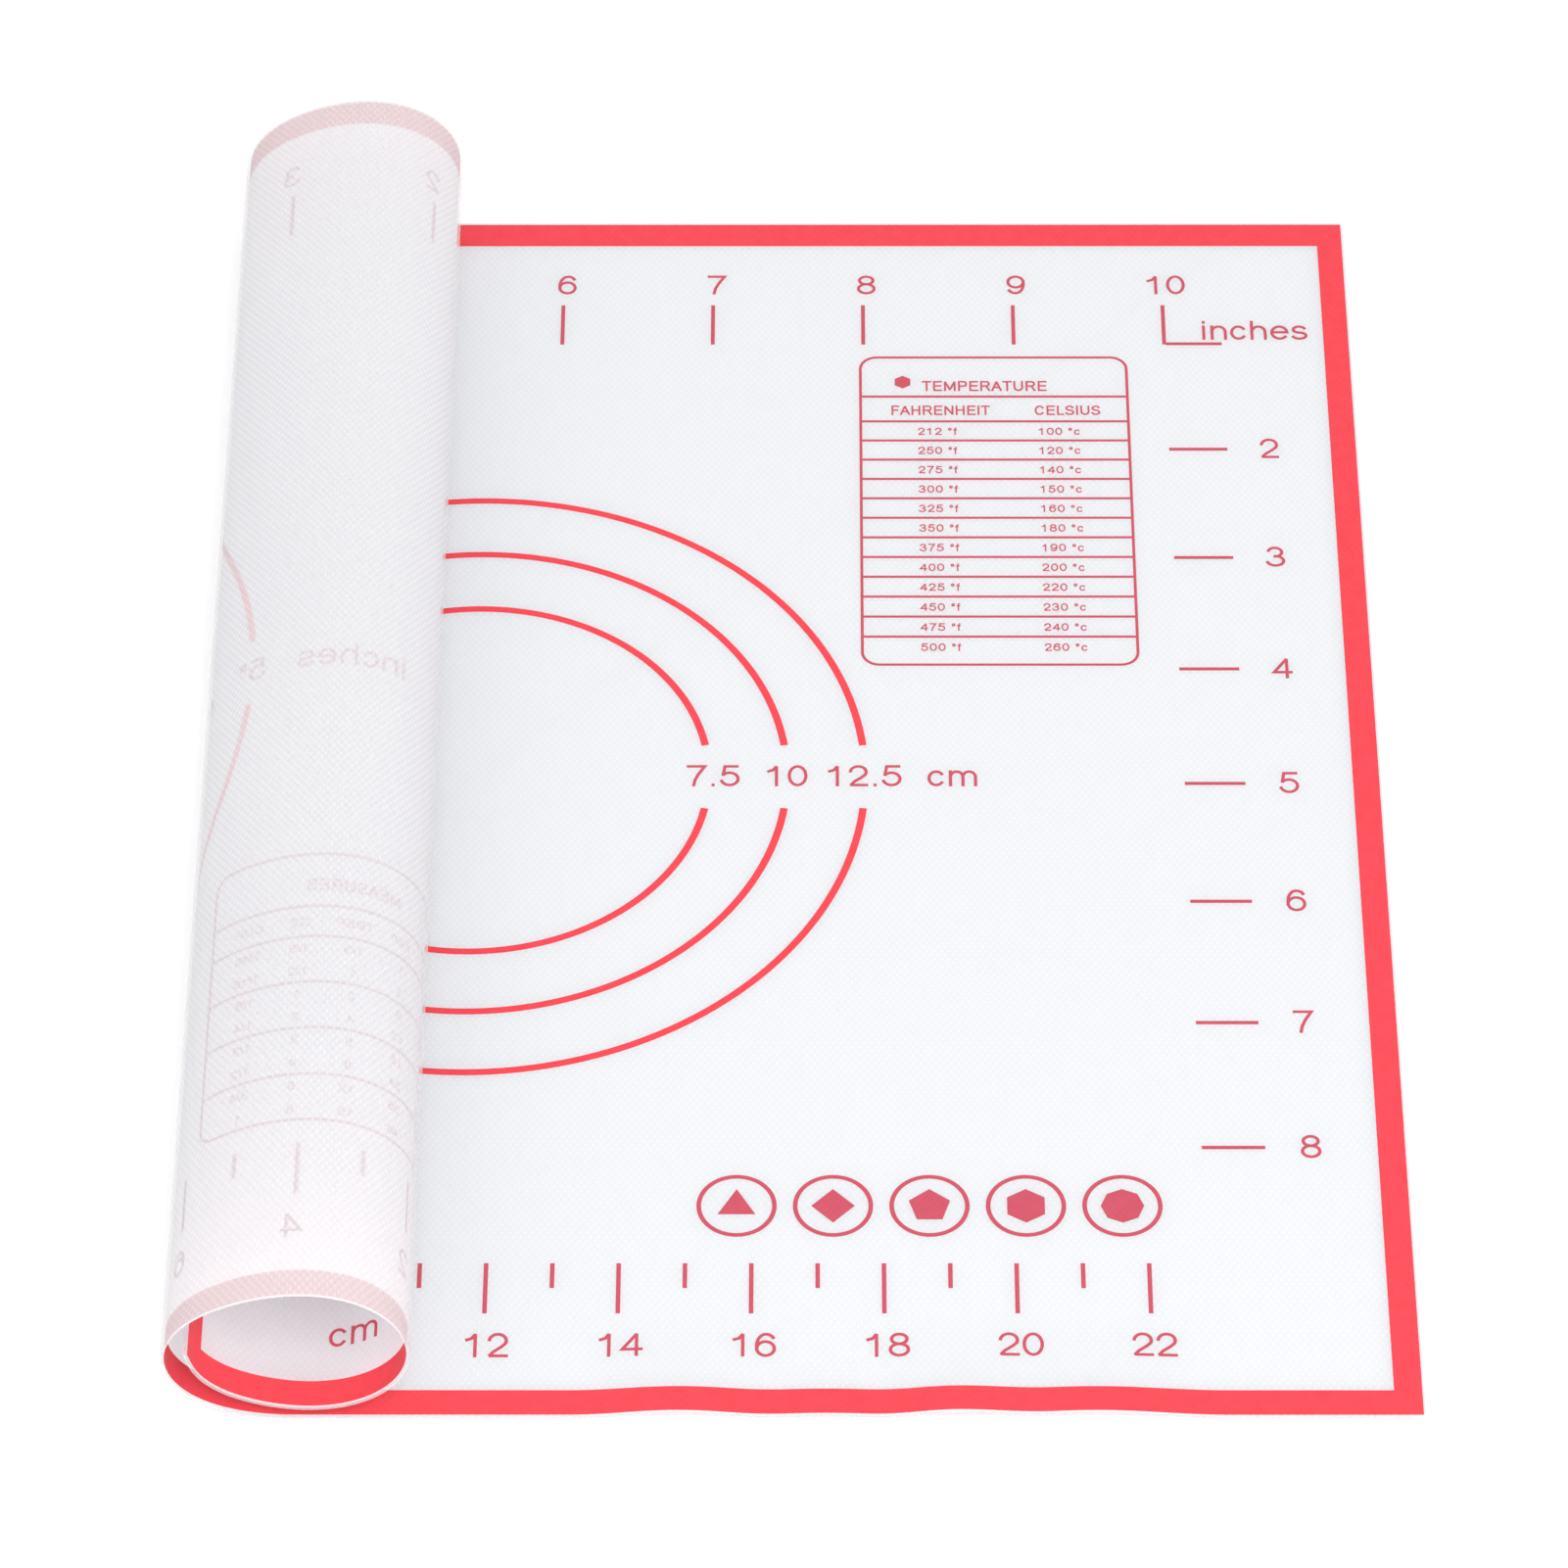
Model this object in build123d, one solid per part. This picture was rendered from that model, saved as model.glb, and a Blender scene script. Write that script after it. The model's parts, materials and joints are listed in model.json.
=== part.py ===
"""A silicone baking mat of 290 x 260 mm that lies flat, with its left part rolled up.

The mat is one thin laminate: a woven glass cloth between two silicone coats, with silicone ink
on the upper one. The rolled part is cut into narrow strips that hinge on each other along the
depth of the mat, so that it can uncurl until it lies flat. Everything is laid out on the flat
mat first: X runs to the right, Y to the back and Z up, from the middle of the underside. Each
strip is then turned to its place in the roll.
"""

import os
from math import cos, pi, radians, sin

from build123d import *

# Laminate
mat_length = 290.0
mat_depth = 260.0
lower_coat_thickness = 0.18
cloth_thickness = 0.14
upper_coat_thickness = 0.18
ink_thickness = 0.05

# Roll
roll_start = -25.4  # where the flat part ends and the roll begins
strip_count = 24
strip_gap = 0.05
roll_turn = 435.0  # degrees from the flat part to the free edge
# Where along the roll it bends most, how far each bend reaches, and how strong it is
bend_place_shares = (0.20, 0.64, 1.0)
bend_reach_shares = (0.18, 0.31, 0.13)
bend_strength_shares = (1.0, 0.82, 1.1)
steady_bend_share = 0.51

# Border
border_inset = 0.4
left_border = 4.7
right_border = 4.2
front_border = 4.6
back_border = 5.3

# Inch rulers: ticks along the back, and dashes in front of the last tick
inch = 25.4
inch_zero_inset = 4.5  # from the left edge, and from the back edge for the dashes
inch_tick_width = 0.6
inch_tick_length = 9.6
inch_tick_inset = 20.45
right_room = 30.0  # kept free of ticks for the dashes and their numbers
side_dash_length = 9.7
front_room = 35.0  # kept free of dashes for the centimetre ruler

# Centimetre ruler along the front
centimetre = 10.0
cm_zero_inset = 29.75
cm_end_room = 35.0
cm_tick_width = 0.65
cm_tick_inset = 19.7
cm_long_tick = 9.7
cm_short_tick = 4.8

# Rings for rolling out dough, with gaps left and right for their labels
ring_diameters = (75.0, 100.0, 125.0)
ring_line = 1.2
ring_gap = 13.8

# Printed tables. The right one hangs from the inch ticks, the left one stands on the
# centimetre ticks
table_line = 0.6
table_corner = 3.0
right_table_gap = 2.95
right_table_side_gap = 6.35
right_table_length = 45.2
right_table_rows = 12
right_table_row = 4.56
right_table_foot = 2.0  # room below the last row
names_depth = 5.95
heading_depth = 9.7
heading_mark_radius = 1.5
heading_mark_sides = 6
heading_mark_inset = 7.3
heading_mark_drop = 6.2
left_table_gap = 4.3
left_table_inset = 39.0
left_table_length = 48.0
left_table_rows = 4
left_table_row = 9.2
left_names_depth = 6.2
left_heading_depth = 11.0

# Row of small round marks below the right table, with a plain figure in each
mark_count = 5
mark_diameter = 12.2
mark_line = 0.7
mark_gap = 2.45
mark_lift = 0.9  # above the foot of the left table
figure_radius = 3.3
figure_sides = (3, 4, 5, 6, 8)
figure_turn = 90.0  # degrees, so that a corner points to the back

thickness = lower_coat_thickness + cloth_thickness + upper_coat_thickness
right_edge = mat_length / 2
back_edge = mat_depth / 2
strip_pitch = (right_edge + roll_start) / strip_count

inch_zero = -right_edge + inch_zero_inset
inch_ticks = int((mat_length - inch_zero_inset - right_room) / inch)
inch_tick_back = back_edge - inch_tick_inset
inch_tick_front = inch_tick_back - inch_tick_length
dash_left = inch_zero + inch_ticks * inch
dash_count = int((mat_depth - inch_zero_inset - front_room) / inch)

cm_zero = -right_edge + cm_zero_inset
cm_ticks = int((mat_length - cm_zero_inset - cm_end_room) / centimetre)
cm_tick_back = -back_edge + cm_tick_inset + cm_long_tick

right_table_right = dash_left - right_table_side_gap
right_table_left = right_table_right - right_table_length
right_table_back = inch_tick_front - right_table_gap
names_back = right_table_back - heading_depth
rows_back = names_back - names_depth
right_table_front = rows_back - right_table_rows * right_table_row - right_table_foot
left_table_left = -right_edge + left_table_inset
left_table_right = left_table_left + left_table_length
left_table_front = cm_tick_back + left_table_gap
left_rows_back = left_table_front + left_table_rows * left_table_row
left_names_back = left_rows_back + left_names_depth
left_table_back = left_names_back + left_heading_depth


def bend_at(share):
    """How sharply the roll bends at a share of its length, in no unit."""
    total = steady_bend_share
    bends = zip(bend_place_shares, bend_reach_shares, bend_strength_shares)
    for place, reach, strength in bends:
        away = abs(share - place) / reach
        if away < 1:
            total += strength * (1 + cos(pi * away)) / 2
    return total


def hinge_turns():
    """The degrees that each hinge is turned by in the roll."""
    bends = [bend_at((number + 0.5) / strip_count) for number in range(strip_count)]
    return [roll_turn * bend / sum(bends) for bend in bends]


def hinge_line(number):
    """Where a hinge lies along X while the mat is flat. The last one is the free edge."""
    return roll_start - number * strip_pitch


def hinge_places():
    """(X, Z, degrees turned so far) of each hinge in the roll, on the mat's upper face."""
    x, z, turned = roll_start, thickness, 0
    places = []
    for turn in hinge_turns():
        turned += turn
        places.append((x, z, turned))
        x -= strip_pitch * cos(radians(turned))
        z += strip_pitch * sin(radians(turned))
    return places


def bar(left, right, front, back):
    """A flat rectangle between four sides."""
    middle = Pos((left + right) / 2, (front + back) / 2)
    return middle * Rectangle(right - left, back - front)


def border_ink():
    outer = bar(-right_edge + border_inset, right_edge - border_inset,
                -back_edge + border_inset, back_edge - border_inset)
    inner = bar(-right_edge + border_inset + left_border,
                right_edge - border_inset - right_border,
                -back_edge + border_inset + front_border,
                back_edge - border_inset - back_border)
    return outer - inner


def back_ruler_ink():
    half = inch_tick_width / 2
    ticks = []
    for number in range(1, inch_ticks + 1):
        x = inch_zero + number * inch
        ticks.append(bar(x - half, x + half, inch_tick_front, inch_tick_back))
    return ticks


def side_ruler_ink():
    """The dashes. The first one starts at the side of the last inch tick."""
    half = inch_tick_width / 2
    dashes = []
    for number in range(1, dash_count + 1):
        y = back_edge - inch_zero_inset - number * inch
        left = dash_left + half if number == 1 else dash_left
        dashes.append(bar(left, dash_left + side_dash_length, y - half, y + half))
    return dashes


def cm_ruler_ink():
    half = cm_tick_width / 2
    ticks = []
    for number in range(cm_ticks + 1):
        x = cm_zero + number * centimetre
        length = cm_short_tick if number % 2 else cm_long_tick
        ticks.append(bar(x - half, x + half, cm_tick_back - length, cm_tick_back))
    return ticks


def ring_ink():
    """The rings, open at their labels and wherever one would run into a table."""
    right_table = bar(right_table_left, right_table_right, right_table_front, right_table_back)
    left_table = bar(left_table_left, left_table_right, left_table_front, left_table_back)
    rings = []
    for diameter in ring_diameters:
        band = Circle((diameter + ring_line) / 2) - Circle((diameter - ring_line) / 2)
        label_gap = Rectangle(2 * diameter, ring_gap)
        rings += (band - label_gap - right_table - left_table).faces()
    return rings


def table_ink(left, right, front, back, lines):
    """A rounded frame with level lines across it, as one piece of ink."""
    middle = Pos((left + right) / 2, (front + back) / 2)
    length, depth = right - left, back - front
    outer = RectangleRounded(length, depth, table_corner)
    inner = RectangleRounded(length - 2 * table_line, depth - 2 * table_line,
                             table_corner - table_line)
    table = middle * (outer - inner)
    half = table_line / 2
    for y in lines:
        table += bar(left + half, right - half, y - half, y + half)
    return table


def right_table_ink():
    rows = [rows_back - number * right_table_row for number in range(right_table_rows)]
    table = table_ink(right_table_left, right_table_right, right_table_front,
                      right_table_back, [names_back] + rows)
    mark = RegularPolygon(heading_mark_radius, heading_mark_sides, rotation=figure_turn)
    place = Pos(right_table_left + heading_mark_inset, right_table_back - heading_mark_drop)
    return [table, place * mark]


def left_table_ink():
    rows = [left_rows_back - number * left_table_row for number in range(left_table_rows)]
    return table_ink(left_table_left, left_table_right, left_table_front,
                     left_table_back, [left_names_back] + rows)


def mark_ink():
    """The round marks, which end flush with the right table."""
    radius = mark_diameter / 2
    ring = Circle(radius) - Circle(radius - mark_line)
    marks = []
    for number in range(mark_count):
        from_last = mark_count - 1 - number
        x = right_table_right - radius - from_last * (mark_diameter + mark_gap)
        place = Pos(x, left_table_front + mark_lift + radius)
        figure = RegularPolygon(figure_radius, figure_sides[number], rotation=figure_turn)
        marks += [place * ring, place * figure]
    return marks


def printed(shapes, left, right):
    """The ink of some flat shapes between two places along X, as solids on the upper face."""
    window = bar(left, right, -mat_depth, mat_depth)
    solids = []
    for shape in shapes:
        box = shape.bounding_box()
        if box.max.X <= left or box.min.X >= right:
            continue
        inside = box.min.X >= left and box.max.X <= right
        kept = shape if inside else shape & window
        for face in kept.faces():
            solids += extrude(Pos(0, 0, thickness) * face, ink_thickness).solids()
    return solids


def layers(left, right):
    """The lower coat, the cloth and the upper coat between two places along X."""
    height = 0
    slabs = []
    for layer in (lower_coat_thickness, cloth_thickness, upper_coat_thickness):
        slab = extrude(bar(left, right, -back_edge, back_edge), layer)
        slabs.append(Pos(0, 0, height) * slab)
        height += layer
    return slabs


def save(name, solids):
    export_step(Compound(children=list(solids)), f"parts/{name}.step")


def make_flat_part():
    lower, cloth, upper = layers(roll_start, right_edge)
    nodes = {
        "lower_coat": lower.solids(),
        "glass_cloth": cloth.solids(),
        "upper_coat": upper.solids(),
    }
    inks = {
        "border_print": [border_ink()],
        "back_ruler_print": back_ruler_ink(),
        "side_ruler_print": side_ruler_ink(),
        "cm_ruler_print": cm_ruler_ink(),
        "ring_print": ring_ink(),
        "temperature_table_print": right_table_ink(),
        "mark_print": mark_ink(),
    }
    for name, shapes in inks.items():
        nodes[name] = printed(shapes, roll_start, right_edge)
    for name, solids in nodes.items():
        save(name, solids)


def make_roll():
    shapes = [border_ink(), left_table_ink()]
    shapes += back_ruler_ink() + cm_ruler_ink() + ring_ink()
    for number, (x, z, turned) in enumerate(hinge_places()):
        right = hinge_line(number) - strip_gap / 2
        left = hinge_line(number + 1) + strip_gap / 2
        if number == strip_count - 1:
            left = -right_edge
        place = Pos(x, 0, z) * Rot(0, turned, 0) * Pos(-hinge_line(number), 0, -thickness)
        slabs = [place * slab for slab in layers(left, right)]
        ink = [place * solid for solid in printed(shapes, left, right)]
        save(f"roll_strip_{number + 1:02d}", [s for slab in slabs for s in slab.solids()])
        save(f"roll_print_{number + 1:02d}", ink)


def main():
    os.makedirs("parts", exist_ok=True)
    make_flat_part()
    make_roll()


main()
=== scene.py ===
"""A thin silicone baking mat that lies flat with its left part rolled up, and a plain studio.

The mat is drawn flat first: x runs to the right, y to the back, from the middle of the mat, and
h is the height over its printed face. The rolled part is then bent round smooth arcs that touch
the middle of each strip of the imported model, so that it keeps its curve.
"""

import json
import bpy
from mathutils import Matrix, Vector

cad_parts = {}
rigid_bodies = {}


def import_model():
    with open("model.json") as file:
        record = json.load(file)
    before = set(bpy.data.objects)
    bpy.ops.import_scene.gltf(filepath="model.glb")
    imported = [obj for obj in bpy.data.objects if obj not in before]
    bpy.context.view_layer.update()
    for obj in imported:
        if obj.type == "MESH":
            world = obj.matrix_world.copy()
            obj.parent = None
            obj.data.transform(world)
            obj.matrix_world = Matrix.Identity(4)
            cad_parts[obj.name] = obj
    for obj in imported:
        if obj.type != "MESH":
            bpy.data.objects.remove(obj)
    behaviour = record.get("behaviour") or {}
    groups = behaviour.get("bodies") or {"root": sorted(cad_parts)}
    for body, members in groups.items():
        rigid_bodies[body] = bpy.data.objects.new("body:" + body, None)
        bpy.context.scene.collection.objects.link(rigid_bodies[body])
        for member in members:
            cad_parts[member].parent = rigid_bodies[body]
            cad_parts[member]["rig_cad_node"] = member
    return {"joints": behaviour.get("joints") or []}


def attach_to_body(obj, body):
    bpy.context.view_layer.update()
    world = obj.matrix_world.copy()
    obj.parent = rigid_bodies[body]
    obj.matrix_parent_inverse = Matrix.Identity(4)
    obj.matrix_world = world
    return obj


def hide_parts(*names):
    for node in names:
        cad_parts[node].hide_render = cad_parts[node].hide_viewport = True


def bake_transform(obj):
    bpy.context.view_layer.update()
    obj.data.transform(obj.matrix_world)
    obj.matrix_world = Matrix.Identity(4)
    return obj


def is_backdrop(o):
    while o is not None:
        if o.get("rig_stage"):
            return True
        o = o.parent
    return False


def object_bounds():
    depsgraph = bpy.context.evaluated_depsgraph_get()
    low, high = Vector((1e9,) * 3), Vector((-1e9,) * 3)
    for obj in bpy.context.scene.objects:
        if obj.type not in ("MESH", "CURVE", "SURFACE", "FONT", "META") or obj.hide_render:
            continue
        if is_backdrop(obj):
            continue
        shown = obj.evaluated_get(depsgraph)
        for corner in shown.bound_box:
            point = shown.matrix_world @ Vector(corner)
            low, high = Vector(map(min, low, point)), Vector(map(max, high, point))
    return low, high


bl_info = {
    "name": "Baking Mat",
    "version": (1, 0, 0),
    "blender": (4, 5, 0),
    "location": "View3D > Sidebar > Baking Mat",
    "description": "Builds a rolled silicone baking mat with its printed rulers, rings and tables",
    "category": "Add Mesh",
}

from math import asin, atan2, ceil, cos, degrees, pi, radians, sin, tan

import bmesh
import bpy
from bpy.props import FloatProperty, FloatVectorProperty, IntProperty, PointerProperty
from mathutils import Matrix, Vector
from mathutils.geometry import delaunay_2d_cdt

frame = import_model()
cad_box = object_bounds()

mm = 0.001
white = (1.0, 1.0, 1.0)
joints = frame["joints"]


def length(name, description, size):
    return FloatProperty(name=name, description=description, default=size, unit="LENGTH",
                         subtype="DISTANCE", precision=5)


def number(name, description, value):
    return FloatProperty(name=name, description=description, default=value)


def colour(name, description, value):
    return FloatVectorProperty(name=name, description=description, default=value, size=3,
                               subtype="COLOR", min=0.0, max=1.0)


class MatSizes(bpy.types.PropertyGroup):
    """The sheet itself."""

    mat_length: length("Length", "Left to right, with the mat flat", 290 * mm)
    mat_depth: length("Depth", "Front to back", 260 * mm)
    thickness: length("Thickness", "Both coats and the cloth", 0.5 * mm)
    roll_start: length("Roll start", "Where the flat part ends", joints[0]["pos_m"][0])
    arc_steps: IntProperty(name="Arc steps", description="Faces along one strip", default=8)
    column: length("Column", "Width of the flat part's faces", 1.5 * mm)
    row: length("Row", "Depth of the faces that follow the waves", 3 * mm)
    wide_row: length("Wide row", "Depth of the other faces", 10 * mm)
    wave_reach: length("Wave reach", "How far the front edge's waves run in", 21 * mm)


class PrintSizes(bpy.types.PropertyGroup):
    """The red ink: the border, the rulers, the rings and the small marks."""

    ink: length("Ink", "Thickness of the ink", 0.05 * mm)
    clear: length("Clear", "How far the ink's underside stays off the coat", 0.004 * mm)
    border_inset: length("Border inset", "From the mat's edge", 0.4 * mm)
    left_border: length("Left border", "Width of the border on the left", 4.7 * mm)
    right_border: length("Right border", "Width of the border on the right", 4.2 * mm)
    front_border: length("Front border", "Width of the border at the front", 4.6 * mm)
    back_border: length("Back border", "Width of the border at the back", 5.3 * mm)
    inch: length("Inch", "Pitch of the inch rulers", 25.4 * mm)
    inch_zero: length("Inch zero", "From the left and back edges", 4.5 * mm)
    inch_tick: length("Inch tick width", "Width of a tick or dash", 0.65 * mm)
    inch_tick_back: length("Inch tick back", "From the back edge to the ticks", 20.45 * mm)
    inch_tick_length: length("Inch tick length", "Length of a tick", 9.6 * mm)
    dash_length: length("Dash length", "Length of a dash of the side ruler", 9.7 * mm)
    centimetre: length("Centimetre", "Pitch of the centimetre ruler", 10 * mm)
    cm_zero: length("Centimetre zero", "From the left edge", 29.75 * mm)
    cm_tick: length("Centimetre tick width", "Width of a tick", 0.68 * mm)
    cm_tick_back: length("Centimetre tick back", "From the front edge to their back", 29.4 * mm)
    cm_long_tick: length("Long tick", "Length of each even tick", 9.7 * mm)
    cm_short_tick: length("Short tick", "Length of each odd tick", 4.8 * mm)
    ring_line: length("Ring line", "Width of the rings", 1.2 * mm)
    ring_gap: length("Ring gap", "Room for the labels", 13.8 * mm)
    mark_diameter: length("Mark diameter", "Of the small round marks", 12.2 * mm)
    mark_line: length("Mark line", "Width of their rings", 0.7 * mm)
    mark_pitch: length("Mark pitch", "From mark to mark", 14.65 * mm)
    mark_lift: length("Mark lift", "Over the left table's foot", 0.9 * mm)
    side_gap: length("Side gap", "From the side ruler to the table and the marks", 6.35 * mm)
    figure_radius: length("Figure radius", "Of the figure in a mark", 3.3 * mm)
    number_height: length("Number height", "Of the inch rulers and the ring labels", 4.6 * mm)
    cm_number_height: length("Centimetre number height", "Of the front ruler", 4.65 * mm)
    stroke: number("Stroke", "Width of a number's line, as a share of its height", 0.112)
    number_gap: length("Number gap", "From an inch tick to its number's middle", 5.05 * mm)
    side_number_gap: length("Side number gap", "From a dash to its number's middle", 7 * mm)
    cm_number_gap: length("Front number gap", "From a long tick to its number's middle", 6.1 * mm)


class TableSizes(bpy.types.PropertyGroup):
    """The two printed tables."""

    line: length("Line", "Width of the lines", 0.47 * mm)
    corner: length("Corner", "Outer radius of the frames' corners", 3 * mm)
    heading_height: length("Heading height", "Of the headings", 2.4 * mm)
    names_height: length("Names height", "Of the column names", 2.25 * mm)
    row_height: length("Row height", "Of the numbers", 1.7 * mm)
    narrow: number("Narrow lettering", "How wide the headings' letters are", 0.84)
    stroke: number("Fine stroke", "Width of a letter's line, as a share of its height", 0.135)
    oven_length: length("Oven table length", "Left to right", 45.2 * mm)
    oven_gap: length("Oven table gap", "From the inch ticks to the table", 2.95 * mm)
    oven_heading: length("Oven heading depth", "Room for the heading", 9.7 * mm)
    oven_names: length("Oven names depth", "Room for the column names", 5.95 * mm)
    oven_row: length("Oven row", "Depth of a row", 4.56 * mm)
    oven_foot: length("Oven foot", "Room below the last row", 2 * mm)
    measure_inset: length("Measure table inset", "From the mat's left edge", 39 * mm)
    measure_length: length("Measure table length", "Left to right", 48 * mm)
    measure_gap: length("Measure table gap", "From the centimetre ticks", 4.3 * mm)
    measure_heading: length("Measure heading depth", "Room for the heading", 11 * mm)
    measure_names: length("Measure names depth", "Room for the column names", 6.2 * mm)
    measure_row: length("Measure row", "Depth between two lines", 9.2 * mm)
    measure_column: length("Measure column", "From column to column", 8.4 * mm)


class Finishes(bpy.types.PropertyGroup):
    """Colours and surfaces."""

    yarn_x: length("Yarn pitch across", "Between the yarns that run to the back", 0.585 * mm)
    yarn_y: length("Yarn pitch along", "Between the yarns that run across", 0.83 * mm)
    coat: colour("Coat", "The silicone over a crossing", (0.985, 0.985, 0.985))
    coat_low: colour("Coat between yarns", "The silicone in the dimples", (0.87, 0.9, 0.94))
    under_low: colour("Lower coat between yarns", "The same underneath", (0.955, 0.96, 0.977))
    coat_roughness: number("Coat roughness", "Over the crossings", 0.42)
    under_alpha: number("Lower coat's cover", "How much of the light it stops", 0.3)
    through: number("Light through", "Share that the cloth lets through", 0.38)
    through_weave: number("Weave in the light", "How much that share varies", 0.14)
    under_weave: number("Weave in the cover", "How much the lower coat's cover varies", 0.04)
    glow: colour("Glow", "Colour of the light that comes through", (0.99, 0.985, 0.99))
    ink: colour("Ink", "The border and the rings", (0.85, 0.062, 0.083))
    ink_line: colour("Ink in lines", "Thin lines and numbers", (0.58, 0.085, 0.125))
    ink_roughness: number("Ink roughness", "The ink's surface", 0.45)
    weave_depth: length("Weave depth", "Height of the weave's relief", 0.05 * mm)


class Studio(bpy.types.PropertyGroup):
    """Floor, lamps and camera."""

    floor: colour("Floor", "The floor's own colour", (0.9, 0.9, 0.9))
    floor_lift: number("Floor lift", "How much whiter the floor looks than it is", 0.22)
    world: number("World", "Strength of the even light", 0.8)
    key: number("Key lamp", "Power in watts", 10.8)
    fill: number("Fill lamp", "Power in watts", 1.2)
    lens: number("Lens", "Focal length in millimetres on a 36 mm sensor", 175.17)
    roll: FloatProperty(name="Camera roll", description="About the line of sight",
                        default=radians(-0.162), subtype="ANGLE")


def sizes():
    return bpy.context.scene.mat_sizes


def prints():
    return bpy.context.scene.print_sizes


def tables():
    return bpy.context.scene.table_sizes


def finishes():
    return bpy.context.scene.finishes


class Curve:
    """The mat's printed face in section: flat on the right, then one arc for each hinge."""

    def __init__(self):
        s = sizes()
        places = [Vector((j["pos_m"][0], j["pos_m"][2])) for j in joints]
        self.hinges = places
        self.count = len(places)
        self.pitch = (s.mat_length / 2 + s.roll_start) / self.count
        self.start = s.roll_start + self.pitch / 2
        self.headings = [0.0]
        for here, there in zip(places, places[1:]):
            step = there - here
            turned = atan2(step.y, -step.x)
            while turned < self.headings[-1]:
                turned += 2 * pi
            self.headings.append(turned)
        slack = radians(0.02)
        self.headings.append(self.headings[-1] + radians(joints[-1]["range_deg"][1]) - slack)

    def edge(self, piece):
        """Where a piece ends on the flat mat. Piece 0 is the flat part."""
        if piece <= self.count:
            return self.start - piece * self.pitch
        return -sizes().mat_length / 2

    def window(self, piece):
        left = self.edge(piece)
        right = sizes().mat_length / 2 if piece == 0 else self.edge(piece - 1)
        return left, right

    def at(self, x):
        """(x, z, heading) of the printed face at a place along the flat mat."""
        flat = sizes().thickness
        if x >= self.start:
            return x, flat, 0.0
        along = (self.start - x) / self.pitch
        number = min(int(along), self.count)
        share = along - number
        before = self.headings[number]
        forward = Vector((-cos(before), sin(before)))
        if number == self.count:
            hinge = self.hinges[-1]
            point = hinge + forward * self.pitch * (share + 0.5)
            return point.x, point.y, before
        turn = self.headings[number + 1] - before
        radius = self.pitch / 2 / tan(turn / 2)
        inward = Vector((sin(before), cos(before)))
        centre = self.hinges[number] - forward * self.pitch / 2 + inward * radius
        heading = before + share * turn
        point = centre - Vector((sin(heading), cos(heading))) * radius
        return point.x, point.y, heading

    def middle(self, number):
        """The middle of a facet, where the arcs meet."""
        x, z, heading = self.at(self.start - number * self.pitch)
        return Vector((x, 0, z))


def swell(away):
    """A smooth bump that is 1 in the middle and 0 from 1 away."""
    return (1 + cos(pi * away)) / 2 if abs(away) < 1 else 0.0


# Where the front edge lifts off the table, how far each lift reaches and how high it is
lifts = ((34 * mm, 16 * mm, 1.15 * mm), (56 * mm, 14 * mm, 0.45 * mm),
         (76 * mm, 14 * mm, 1.35 * mm), (96 * mm, 20 * mm, 1.15 * mm))


def lift(x, y):
    s = sizes()
    from_front = (y + s.mat_depth / 2) / s.wave_reach
    if from_front >= 1:
        return 0.0
    high = sum(height * swell((x - place) / reach) for place, reach, height in lifts)
    return high * swell(from_front)


def place(curve, x, y, h):
    """Where a point of the flat mat lies on the real one."""
    across, z, heading = curve.at(x)
    return Vector((across + h * sin(heading), y, z + h * cos(heading) + lift(x, y)))


def facing(curve, x, y):
    """The direction that the printed face looks in at a point."""
    heading = curve.at(x)[2]
    step = 0.2 * mm
    slope_x = (lift(x + step, y) - lift(x - step, y)) / (2 * step)
    slope_y = (lift(x, y + step) - lift(x, y - step)) / (2 * step)
    return Vector((sin(heading) - slope_x, -slope_y, cos(heading))).normalized()


def cuts(curve, piece):
    """The places along x where a piece's faces meet."""
    left, right = curve.window(piece)
    s = sizes()
    step = s.column if piece == 0 else curve.pitch / s.arc_steps
    count = ceil((right - left) / step - 0.01)
    return [left + (right - left) * n / count for n in range(count + 1)]


def rows(piece):
    """The places along y where a piece's faces meet."""
    s = sizes()
    front, back = -s.mat_depth / 2, s.mat_depth / 2
    fine = [front + n * s.row for n in range(round(s.wave_reach / s.row))] if piece == 0 else []
    first = front + s.wave_reach if piece == 0 else front
    count = round((back - first) / s.wide_row)
    return fine + [first + (back - first) * n / count for n in range(count + 1)]


def finish_mesh(name, bm, curve, materials, low, high):
    """Bends a flat bmesh, whose z is the height over the printed face, into place. The first
    material is for the side that is printed on, and the last one for all other faces."""
    uv = bm.loops.layers.uv.new("flat")
    bm.verts.index_update()
    flat = [v.co.copy() for v in bm.verts]
    kinds = []
    for face in bm.faces:
        face.smooth = True
        heights = [flat[v.index].z for v in face.verts]
        kind = 1 if min(heights) > high - 1e-7 else -1 if max(heights) < low + 1e-7 else 0
        kinds.append(kind)
        face.material_index = 0 if kind == 1 else len(materials) - 1
        for loop in face.loops:
            loop[uv].uv = flat[loop.vert.index].xy
    for vert, point in zip(bm.verts, flat):
        vert.co = place(curve, point.x, point.y, point.z)
    bm.normal_update()
    seen, normals = {}, []
    for face, kind in zip(bm.faces, kinds):
        for loop in face.loops:
            index = loop.vert.index
            if kind and index not in seen:
                seen[index] = facing(curve, flat[index].x, flat[index].y)
            normals.append(seen[index] * kind if kind else face.normal.copy())
    mesh = bpy.data.meshes.new(name)
    bm.to_mesh(mesh)
    bm.free()
    mesh.normals_split_custom_set(normals)
    for material in materials:
        mesh.materials.append(material)
    piece = bpy.data.objects.new(name, mesh)
    bpy.context.scene.collection.objects.link(piece)
    return piece


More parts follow.
